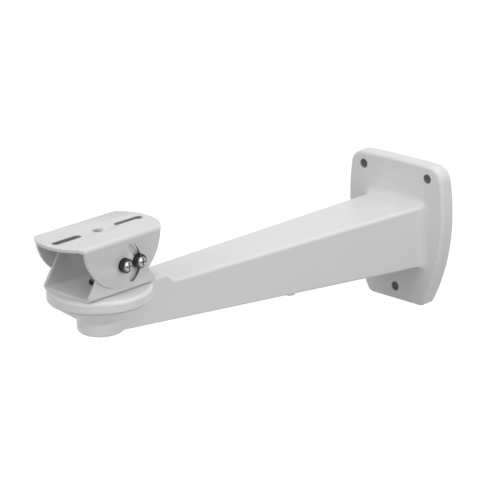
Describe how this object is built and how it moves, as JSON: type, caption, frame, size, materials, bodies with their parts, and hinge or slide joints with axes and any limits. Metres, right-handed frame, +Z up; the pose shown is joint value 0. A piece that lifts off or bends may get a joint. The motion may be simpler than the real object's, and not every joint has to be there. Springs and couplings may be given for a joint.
{
  "type": "wall bracket",
  "caption": "Cantilever wall bracket for a camera: hollow cast arm on a wall plate, with a pan and tilt head of folded sheet.",
  "frame": {"origin": "in the wall plane, on the middle plane of the bracket, 65 mm under the wall plate's top edge", "axes": "+Y points into the wall, the arm runs along -Y, +X is to the right seen from the head, +Z is up"},
  "size_m": [0.111, 0.4225, 0.1531],
  "materials": {
    "white_casting": "white powder coat, satin",
    "white_sheet": "white powder coat, satin",
    "bright_steel": "bright stainless"
  },
  "bodies": {
    "arm": {"arm_casting": "white_casting", "pan_bolt": "bright_steel", "pan_washer": "bright_steel", "pan_spring_washer": "bright_steel", "pan_lower_washer": "bright_steel", "pan_nut": "bright_steel"},
    "yoke": {"yoke": "white_sheet", "near_pivot_screw": "bright_steel", "near_pivot_washer": "bright_steel", "near_pivot_spring_washer": "bright_steel", "near_lock_screw": "bright_steel", "near_lock_washer": "bright_steel", "near_lock_spring_washer": "bright_steel", "far_pivot_screw": "bright_steel", "far_pivot_washer": "bright_steel", "far_pivot_spring_washer": "bright_steel", "far_lock_screw": "bright_steel", "far_lock_washer": "bright_steel", "far_lock_spring_washer": "bright_steel"},
    "cradle": {"cradle": "white_sheet"}
  },
  "joints": [
    {"name": "pan", "type": "hinge", "parent": "arm", "child": "yoke", "pos_m": [0, -0.369, 0.0395], "axis": [0, 0, 1], "continuous": true},
    {"name": "tilt", "type": "hinge", "parent": "yoke", "child": "cradle", "pos_m": [0, -0.369, 0.0635], "axis": [1, 0, 0], "range_deg": [-35, 35]}
  ]
}
